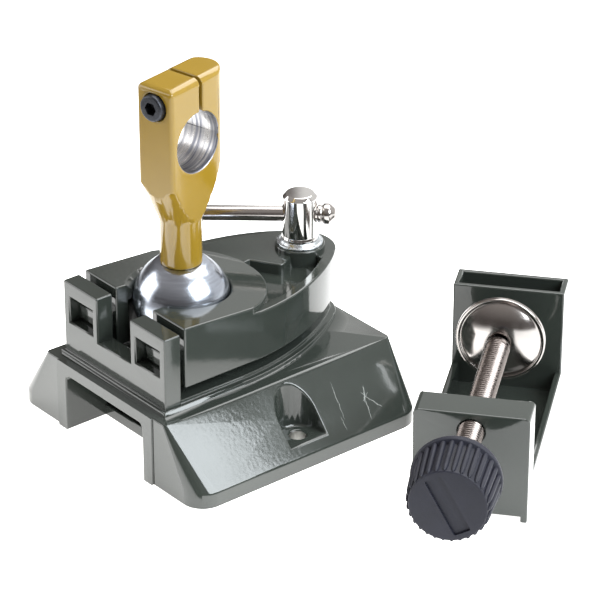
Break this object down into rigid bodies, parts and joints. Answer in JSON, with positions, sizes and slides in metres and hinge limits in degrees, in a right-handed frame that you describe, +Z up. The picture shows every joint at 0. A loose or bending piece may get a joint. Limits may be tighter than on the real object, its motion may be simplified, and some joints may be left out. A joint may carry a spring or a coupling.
{
  "type": "ball-joint tool holder with table clamp",
  "caption": "Ball-joint stand that grips a small power tool in a split collar on a leaning arm, clamped by a toggle screw, with a separate screw clamp that holds its base on a table edge.",
  "frame": {"origin": "on the bench face of the base, straight below the centre of the ball", "axes": "+Z up from the bench, +X along the front face of the base, the two posts facing -Y"},
  "size_m": [0.1907, 0.1462, 0.1254],
  "materials": {
    "grey_green_enamel": "gloss enamel over a die casting",
    "ochre_enamel": "gloss enamel over a casting, with the bore left bare",
    "polished_alloy": "polished",
    "bright_chrome": "bright plated",
    "zinc_plate": "zinc plated",
    "black_oxide": "black oxide",
    "navy_plastic": "fine moulded texture",
    "brass_insert": "turned"
  },
  "bodies": {
    "base": {"base_casting": "grey_green_enamel", "base_insert": "zinc_plate"},
    "ball": {"joint_ball": "polished_alloy", "ball_screw": "black_oxide"},
    "arm": {"tool_arm": "ochre_enamel"},
    "pinch": {"pinch_screw": "black_oxide"},
    "ball_clamp": {"ball_clamp": "grey_green_enamel", "toggle_washer": "zinc_plate"},
    "toggle": {"toggle_screw": "bright_chrome"},
    "bar": {"toggle_bar": "bright_chrome", "toggle_knob_near": "bright_chrome", "toggle_knob_far": "bright_chrome"},
    "table_clamp": {"clamp_frame": "grey_green_enamel"},
    "spindle_tip": {"plate_retainer": "zinc_plate"},
    "spindle": {"clamp_spindle": "bright_chrome", "clamp_knob": "navy_plastic", "knob_insert": "brass_insert"},
    "pressure_plate": {"pressure_plate": "bright_chrome"}
  },
  "joints": [
    {"name": "arm_tilt", "type": "hinge", "parent": "base", "child": "ball", "pos_m": [0, 0, 0.0465], "axis": [1, 0, 0], "range_deg": [-35, 90]},
    {"name": "arm_spin", "type": "hinge", "parent": "ball", "child": "arm", "pos_m": [0, 0, 0.0605], "axis": [0, 0, 1], "continuous": true},
    {"name": "pinch_turn", "type": "hinge", "parent": "arm", "child": "pinch", "pos_m": [0, 0, 0.1185], "axis": [-0.213, 0.977, 0], "continuous": true},
    {"name": "clamp_lift", "type": "hinge", "parent": "base", "child": "ball_clamp", "pos_m": [0, -0.0225, 0.0403], "axis": [1, 0, 0], "range_deg": [0, 1.05]},
    {"name": "toggle_turn", "type": "hinge", "parent": "ball_clamp", "child": "toggle", "pos_m": [0, 0.0493, 0.0619], "axis": [0, 0, 1], "range_deg": [0, 360]},
    {"name": "bar_slide", "type": "slide", "parent": "toggle", "child": "bar", "axis": [0.6481, 0.7615, 0], "range_m": [0, 0.0255]},
    {"name": "table_clamp_apart", "type": "slide", "parent": "base", "child": "table_clamp", "axis": [0.776, 0.6307, 0], "range_m": [0, 0.12]},
    {"name": "spindle_feed", "type": "slide", "parent": "table_clamp", "child": "spindle_tip", "axis": [0.6307, -0.776, 0], "range_m": [-0.0128, 0.044]},
    {"name": "spindle_turn", "type": "hinge", "parent": "spindle_tip", "child": "spindle", "pos_m": [0.11156, 0.02326, 0.0311], "axis": [0.6307, -0.776, 0], "range_deg": [-3700, 12700]},
    {"name": "plate_tilt", "type": "hinge", "parent": "spindle_tip", "child": "pressure_plate", "pos_m": [0.06552, 0.07991, 0.0311], "axis": [0.776, 0.6307, 0], "range_deg": [-5, 5]}
  ],
  "couplings": [
    {"joint": "clamp_lift", "follows": "toggle_turn", "ratio": 0.0027708},
    {"joint": "spindle_turn", "follows": "spindle_feed", "rad_per_m": 5026.5}
  ]
}
